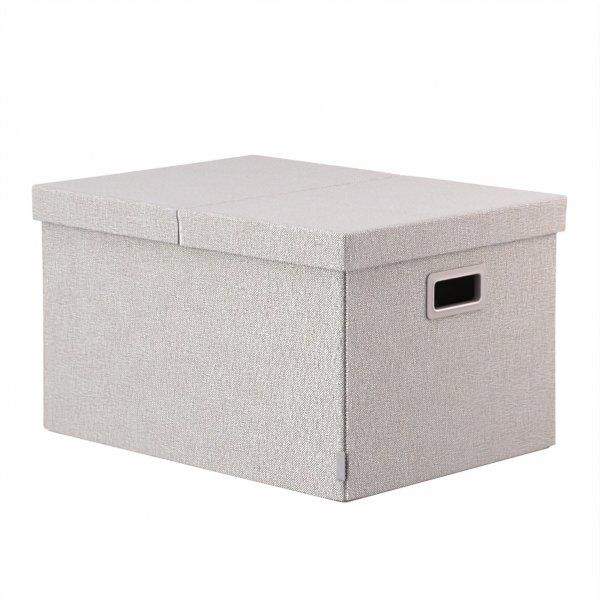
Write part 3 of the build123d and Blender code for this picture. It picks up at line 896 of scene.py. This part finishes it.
# %% Columns of the rim: the outline of one half, from the front slit round to the back slit
def half_outline(spread_x, count_y, steps=19, inset=0.0):
    """Points on the outline of a half or inset from it, and the outward direction of each."""
    corner = LID_CORNER - inset
    c, s = cos_sin(np.linspace(0, np.pi / 2, steps)[1:-1])
    return np.concatenate([
        grid(spread_x, inset - LID_Y, 0.0, -1.0),
        grid(LID_END_X + corner * s, -LID_END_Y - corner * c, s, -c),
        grid(LID_X - inset, np.linspace(-LID_END_Y, LID_END_Y, count_y), 1.0, 0.0),
        grid(LID_END_X + corner * c, LID_END_Y + corner * s, c, s),
        grid(spread_x[::-1], LID_Y - inset, 0.0, 1.0),
    ]).T


def slit_edge(z, depth):
    """Half the gap between the two halves: a slit in the rim, the hinge strip's edge on top."""
    gap = 0.55 + 0.85 * ramp(z, LID_TOP, RIM_LOW)
    top = ramp(depth, 1.5, 4.5) * ramp(z, LID_TOP - 4, LID_TOP - 2)
    return gap * (1 - top) + HINGE_EDGE * top


# %% How handling has settled the lid: sags between its corners, a dip at the hinge, a slanting slit
def settled(points):
    x, y, z = (points[..., i] for i in range(3))
    off_face = LID_Y - np.abs(y)
    sag = 1 - hump(np.abs(x), LID_X, 70) * hump(off_face, 0, 70)
    on_top, at_foot = ramp(z, LID_TOP - 10, LID_TOP - 2), ramp(z, RIM_LOW + 16, RIM_LOW + 4)
    long_side = ramp(off_face, 9, 3)
    # the right half stands proud of the left at the slit, and its rim hangs lower there
    proud = (x > 0) * hump(x, 0, 35) * long_side
    z_new = z - on_top * (0.45 * sag + 0.9 * hump(x, 0, 30)) - at_foot * (0.75 * long_side * sag + 0.9 * proud)
    y_new = y + np.sign(y) * proud * 0.7 * (1 - on_top)
    # the slit slants, and swings to the left in the upper half of the rim
    slant = 0.1 - 0.4 * ramp(z, RIM_LOW, LID_TOP) - 2.6 * eased(ramp(z, LID_TOP - 21, LID_TOP - 8))
    x_new = x + slant * ramp(np.abs(x), 22, 0) * ramp(off_face, 4.5, 1)
    # the right end leans out towards the top, and its back corner has been pushed out there
    x_new = x_new + 0.5 * ramp(z, RIM_LOW + 4, LID_TOP - 2) * ramp(x, 0, BOX_X) ** 3
    pushed = ramp(z, LID_TOP - 20, LID_TOP - 12) * ramp(x, BOX_X - 100, BOX_X) * ramp(y, 0, 170) ** 2
    return grid(x_new + 0.9 * pushed, y_new + 0.7 * pushed, z_new)


# %% One half of the lid
def lid_half(side, sign, seed):
    depth, height, n_out, n_up, share, flat_v = rim_rows()
    spread_x = np.concatenate([[2.9, 3.7, 4.8], np.linspace(8, LID_END_X, 46)])
    path_x, path_y, out_x, out_y = half_outline(spread_x, 61)
    flat_u = walked(grid(path_x, path_y)) + spread_x[0]
    x, y, z = path_x - depth * out_x, path_y - depth * out_y, height + 0 * path_x
    # unevenness of the face and of the lower edge
    quiet = ramp(np.abs(x), 0, 20) * ramp(height, RIM_LOW + 1, RIM_LOW + 7) * ramp(depth, 2, 0)
    swell = ripple(seed, flat_u, z, 0.2) * quiet
    # a seam runs down each corner of the rim
    arc = (np.arcsin(np.minimum(np.abs(out_x), np.abs(out_y))) - np.pi / 4) * LID_CORNER
    face = (share >= 1) * ramp(height, TOP_LEVEL - 1, TOP_LEVEL - 4)
    swell = swell - 0.8 * hump(arc, 0, 1.0) * face
    # painted shade along each corner seam
    painted_light = (0.2 * hump(arc, 0, 1.2) + 0.25 * hump(arc, 0, 3.0)) * face
    # painted shade on the roll onto the top, dimming its highlight, and painted light on the fold at the rim's
    # lower edge, lightening the shadow under the rim
    painted_light = painted_light + 0.13 * ramp(depth, 0, 0.5) * (n_up > 0) * ramp(depth, LID_CORNER, LID_CORNER - 3)
    painted_light = painted_light - 0.2 * (depth < 2.0) * (height < RIM_LOW + 1.2)
    x, y = x + swell * out_x, y + swell * out_y

    # the end folds: at both ends of the path, the cloth rolls over the edge and turns in
    edge = slit_edge(height, depth)
    roll, turn_in = 1.1 if sign > 0 else 0.6, 2.9
    turns = np.linspace(0, np.pi / 2, 4)
    along = np.concatenate([edge + roll * share * (1 - np.sin(turns)), edge], 1)
    inward = np.concatenate([roll * share * (1 - np.cos(turns)), turn_in * share], 1)
    fold_y, fold_z = LID_Y - depth - inward * n_out, height - inward * n_up
    front = grid(along, -fold_y, fold_z)[:, ::-1]
    points = np.concatenate([front, grid(x, y, z), grid(along, fold_y, fold_z)], 1)
    # painted shade deep in the slit, and a painted highlight on the right half's edge
    inside = np.array([0.2, 0.5, 0.9, 1.15, 1.2]) * share
    if sign > 0:
        slit_highlight = -0.75 * np.clip((LID_TOP - 13 - height) / 10, 0.35, 1) * (share >= 1)
        slit_highlight = slit_highlight * ramp(height, TOP_LEVEL - 1, TOP_LEVEL - 5)
        for step, part in enumerate((1.0, 0.9, 0.25)):
            painted_light[:, [step, -1 - step]] = part * slit_highlight
        inside = np.concatenate([slit_highlight, slit_highlight, np.array([0.2, 0.9, 1.2]) * share], 1)
    inside = inside * ramp(height, TOP_LEVEL - 0.8, TOP_LEVEL - 3.8)
    painted_light = np.concatenate([inside[:, ::-1], painted_light, inside], 1)
    # the top was pressed flatter than the rim, and the rim's end a little flatter than its long sides
    calm = 1.0 - (1.0 - TOP_CALM) * (ramp(depth, 0, TOP_ROLL) * (n_up > 0)) ** 0.7
    calm = calm * (0.93 - 0.08 * np.pad(np.abs(out_x), 5))
    fold_u = np.array([0.0, 0.3, 0.6, 0.9, 3.0]) * 1.2
    first_u = 1.4 - fold_u[::-1]
    flat = grid(np.concatenate([first_u, flat_u, flat_u[-1] + 1.5 + fold_u]), flat_v)

    # the flat top, with the fold down into the hinge's groove
    fold_x = np.append(HINGE_EDGE + roll * (1 - np.sin(turns)), HINGE_EDGE)[::-1]
    drop = np.append(roll * (1 - np.cos(turns)), turn_in)[::-1]
    spread_y = np.linspace(-LID_END_Y, LID_END_Y, 61)[:, None]
    top = grid(np.append(fold_x, spread_x), spread_y, TOP_LEVEL - np.append(drop, 0 * spread_x))
    flat_top = grid(np.append(first_u, spread_x), spread_y + 700.0)
    if sign < 0:
        points, top = turned(points, 2), turned(top, 2)
    skin = [sheet(settled(points), flat, painted_light=painted_light, calm=calm), sheet(settled(top), flat_top, calm=TOP_CALM)]
    cloth_piece(f"lid_{side}_cloth", skin, "cover_fabric", f"lid_{side}", f"lid_{side}_cover")


lid_half("right", 1, 31)
lid_half("left", -1, 37)

# %% [markdown]
# The card inside follows the cloth: the top boards sag with it, and the left half's rim boards stop a little
# sooner, because the slit slants over their ends.


# %% Card that has settled with the cloth
def under_cloth(points):
    x, y, z = points.T
    ceiling = settled(grid(x, y, TOP_LEVEL))[:, 2] - CLOTH - 0.04
    low = z.min()
    return grid(x, y, low + (z - low) / (z.max() - low) * (ceiling - low))


for side in ("left", "right"):
    wrapped_board(
        f"lid_{side}_top_card", f"lid_{side}_top_board", "lid_" + side, "chipboard", 0.3, shape=under_cloth
    )
for side in ("front", "back"):
    wrapped_board(f"lid_left_{side}_rim_card", f"lid_left_{side}_rim_board", "lid_left", "chipboard", 0.3, -4.9)

# %% [markdown]
# ## Lid lining and hinge
# Under the lid, felt covers the boards down to the hem. The hinge is a strip of the outer cloth, set a
# little below the top, with a tape under it.


# %% Felt inside each half of the lid
def lid_lining(side, sign):
    spread_x = np.linspace(2.2, LID_END_X, 31)
    path_x, path_y, out_x, out_y = half_outline(spread_x, 41, 7, PANEL)
    low, round_at = low_high("lid_right_lining")[0][2], WALL_TOP - 1.2
    c, s = cos_sin(np.linspace(0, np.pi / 2, 5)[1:])
    rise, roll = grid(0.0, np.linspace(low, round_at, 6)), grid(1.2 * (1 - c), round_at + 1.2 * s)
    steps = np.concatenate([rise, roll, [(LID_CORNER - PANEL, WALL_TOP)]])
    inward, z = steps.T[..., None]
    points = grid(path_x - inward * out_x, path_y - inward * out_y, z)
    top = grid(spread_x, np.linspace(-LID_END_Y, LID_END_Y, 41)[:, None], WALL_TOP)
    flat_top = top[..., :2] + [0, 500]
    if sign < 0:
        points, top = turned(points, 2), turned(top, 2)
    felt = [sheet(points, grid(walked(grid(path_x, path_y)), z), True), sheet(top, flat_top, True)]
    cloth_piece(f"lid_{side}_felt", felt, "lining_fabric", f"lid_{side}", f"lid_{side}_lining")


lid_lining("right", 1)
lid_lining("left", -1)


# %% Hinge strip and tape
def hinge_sheet(name, node, slot, bow):
    low, high = low_high(node)
    x, y = np.meshgrid(np.linspace(low[0], high[0], 9), np.linspace(low[1], high[1], 75))
    z = high[2] - bow * (1 - (x / high[0]) ** 2) - 1.68
    cloth_piece(name, [sheet(grid(x, y, z), grid(x, y))], slot, "lid_spine", node)


hinge_sheet("hinge_cloth", "lid_hinge_strip", "cover_fabric", 0.25)
hinge_sheet("hinge_tape", "lid_hinge_tape", "lining_fabric", 0.1)

# %% [markdown]
# ## Stitches
# Every hem and hinge is sewn with a running stitch of about 4.5 mm. Modelling each by hand would be slow, and a
# texture would look flat from close by, so a Geometry Nodes tree sets one small stitch along any path: the
# path becomes a curve, is divided at the stitch pitch, and each point gets a stitch turned along the path.


# %% The tree that sews along a path
def sewing_tree():
    group = bpy.data.node_groups.new("running stitch", "GeometryNodeTree")
    add = group.interface.new_socket
    add("Path", in_out="INPUT", socket_type="NodeSocketGeometry")
    for label, size in (("Pitch", 0.0045), ("Stitch length", 0.0034), ("Thread width", 0.0007)):
        add(label, in_out="INPUT", socket_type="NodeSocketFloat").default_value = size
    add("Seed", in_out="INPUT", socket_type="NodeSocketInt").default_value = 4
    add("Stitches", in_out="OUTPUT", socket_type="NodeSocketGeometry")
    t = Tree(group)
    path = t.node("NodeGroupInput")
    width = path.out("Thread width")
    curve = t.node("GeometryNodeMeshToCurve", None, [path])
    spots = t.node("GeometryNodeResampleCurve", {"mode": "LENGTH"}, {"Curve": curve, "Length": path.out("Pitch")})
    # one stitch: a small ball, drawn out along the thread
    ball = t.node("GeometryNodeMeshUVSphere", None, {"Segments": 6, "Rings": 5, "Radius": 0.5})
    limits = {2: 0.9, 3: 1.06, "Seed": path.out("Seed")}
    jitter = t.node("FunctionNodeRandomValue", {"data_type": "FLOAT"}, limits, out=1)
    size = t.point(width, width, path.out("Stitch length") * jitter)
    tangent = t.node("GeometryNodeInputTangent")
    turn = t.node("FunctionNodeAlignRotationToVector", {"axis": "Z"}, {"Vector": tangent})
    inputs = {"Points": spots, "Instance": ball, "Rotation": turn, "Scale": size}
    whole = t.node("GeometryNodeRealizeInstances", None, [t.node("GeometryNodeInstanceOnPoints", None, inputs)])
    soft = t.node("GeometryNodeSetShadeSmooth", None, [whole])
    dressed = t.node("GeometryNodeSetMaterial", None, {"Geometry": soft, "Material": thread})
    t.node("NodeGroupOutput", None, [dressed])
    return group


sewing = sewing_tree()


def sew(name, body, runs, pitch=4.5, length=3.4, width=0.7):
    """Sews along each run of points (mm) on one body."""
    points, edges = [], []
    for run in runs:
        edges += [(len(points) + i, len(points) + i + 1) for i in range(len(run) - 1)]
        points += [tuple(float(c) * MM for c in point) for point in run]
    mesh = bpy.data.meshes.new(name)
    mesh.from_pydata(points, edges, [])
    piece = new_object(name, mesh)
    needle = piece.modifiers.new("running stitch", "NODES")
    needle.node_group = sewing
    values = {"Pitch": pitch * MM, "Stitch length": length * MM, "Thread width": width * MM}
    for socket in sewing.interface.items_tree:
        if socket.name in values:
            needle[socket.identifier] = values[socket.name]
    settle(piece)
    place_piece(piece, body)


# %% The box: hem inside each wall, and the thread down each corner groove
inside_x, inside_y, hem = BOX_X - PANEL, BOX_Y - PANEL, HEM_LINE + STITCH_IN
runs = [((4 - inside_x, y, hem), (inside_x - 4, y, hem)) for y in (-inside_y, inside_y)]
runs += [((x, 4 - inside_y, hem), (x, inside_y - 4, hem)) for x in (-inside_x, inside_x)]
sew("hem_stitches", "box", runs)

heights, deep = np.linspace(WALL_LOW + 4, WALL_TOP - 3, 60), 4.45 * DIAGONAL
groove_x, groove_y = BOX_X + lean(heights, END_FLARE) - deep, BOX_Y + lean(heights) - deep
corners = ((1, -1), (-1, -1), (1, 1), (-1, 1))
sew("corner_stitches", "box", [grid(a * groove_x, b * groove_y, heights) for a, b in corners], 4.8, 3.2, 0.6)

# %% The lid's hem, and the rows beside both hinges
board_top = low_high("base_cover_right")[1][2]
path_x, path_y, out_x, out_y = half_outline(np.linspace(6, LID_END_X, 30), 30)
rim_run = grid(path_x - PANEL * out_x, path_y - PANEL * out_y, RIM_HEM - STITCH_IN)
for side, sign, base_row in (("right", 1, 4.2), ("left", -1, -5.6)):
    run = settled(rim_run if sign > 0 else turned(rim_run, 2))
    beside = ((sign * 5.6, -172, WALL_TOP), (sign * 5.6, 172, WALL_TOP))
    sew(f"lid_{side}_stitches", f"lid_{side}", [run, beside])
    sew(f"base_{side}_stitches", f"base_{side}", [((base_row, -170, board_top), (base_row, 170, board_top))])

# %% [markdown]
# ## Finishes for the pieces that stay
# The boards are hidden between the cloths, and the rings hold the handles from inside. They keep their
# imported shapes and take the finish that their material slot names.

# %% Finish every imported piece
for row in frame["record"]["subparts"]:
    materials = nodes[row["node"]].data.materials
    materials.clear()
    materials.append(FINISHES[row["material_slot"]])

# %% [markdown]
# ## Floor, light and camera
# A plain white floor and backdrop, as in a catalogue picture. The white is the colour that the camera sees,
# not more light: the world and the floor show white to the camera and in reflections, and give the box only
# a plain level of light. A large soft lamp stands low in front, a weak warm one behind the right end, and a
# cool one hangs above.


# %% Floor
def seen_white(tree):
    """1 for what the camera sees, straight, in a reflection or through clear plastic, and 0 for light."""
    path = tree.node("ShaderNodeLightPath", out="Is Camera Ray")
    return path.math("MAXIMUM", path.out("Is Glossy Ray")).math("MAXIMUM", path.out("Is Transmission Ray"))


floor_mesh = bpy.data.meshes.new("floor")
floor_mesh.from_pydata([(-6, -6, 0), (6, -6, 0), (6, 6, 0), (-6, 6, 0)], [], [(0, 1, 2, 3)])
floor_finish = bpy.data.materials.new("white floor")
floor_finish.use_nodes = True
floor_tree = Tree(floor_finish.node_tree)
paper = floor_tree.node("ShaderNodeBsdfDiffuse", None, [(0.44, 0.44, 0.44)])
glow = floor_tree.node("ShaderNodeEmission", None, [(1, 1, 1)])
shown = floor_tree.node("ShaderNodeMixShader", None, [seen_white(floor_tree) * 0.985, paper, glow])
floor_tree.node("ShaderNodeOutputMaterial", None, [shown])
floor_mesh.materials.append(floor_finish)
new_object("floor", floor_mesh)

# %% World: white to the camera, a plain level of light to the box
AMBIENT = (0.465, 0.436, 0.438)
world = bpy.data.worlds.new("studio")
bpy.context.scene.world = world
world.use_nodes = True
sky = Tree(world.node_tree)
light, white = (sky.node("ShaderNodeBackground", None, [color]) for color in (AMBIENT, (1, 1, 1)))
sky.node("ShaderNodeOutputWorld", None, [sky.node("ShaderNodeMixShader", None, [seen_white(sky), light, white])])


# %% Lamps
def lamp(name, place, power, size, color):
    light = bpy.data.lights.new(name, "AREA")
    light.energy, light.size, light.color = power, size, color
    stand = new_object(name, light)
    stand.location = place
    stand.visible_camera = False
    aim = Vector((0, 0, 0.15)) - Vector(place)
    stand.rotation_euler = aim.to_track_quat("-Z", "Y").to_euler()


lamp("key from front left", (-0.4, -2.9, 1.05), 38.8, 1.8, (0.968, 0.996, 0.957))
lamp("fill from the right", (0.7, 0.5, 0.52), 2.84, 0.5, (1.0, 0.88, 0.845))
lamp("top", (0.3, -0.9, 2.4), 31.9, 2.0, (0.805, 0.877, 1.0))

# %% Camera, at the photograph's place
CAMERA_AT = (2.258608511, -2.317062743, 0.778487897)
YAW, PITCH, ROLL = np.radians([-44.174772337, 10.677291549, -0.078194204])
FOCAL, SENSOR = 4.6469922739, 36.0  # focal length as a share of the picture's width, and that width in mm
forward = np.array([np.cos(PITCH) * np.sin(YAW), np.cos(PITCH) * np.cos(YAW), -np.sin(PITCH)])
level = np.array([np.cos(YAW), -np.sin(YAW), 0.0])
upright = np.cross(level, forward)
right = np.cos(ROLL) * level + np.sin(ROLL) * upright
up = -np.sin(ROLL) * level + np.cos(ROLL) * upright
camera = new_object("camera", bpy.data.cameras.new("camera"))
camera.data.sensor_width, camera.data.lens = SENSOR, FOCAL * SENSOR
camera.matrix_world = Matrix(np.vstack([np.stack([right, up, -forward, CAMERA_AT], 1), [0, 0, 0, 1]]).tolist())
bpy.context.scene.camera = camera
bpy.context.scene.view_settings.view_transform = "Standard"

# %% Update the view layer
bpy.context.view_layer.update()
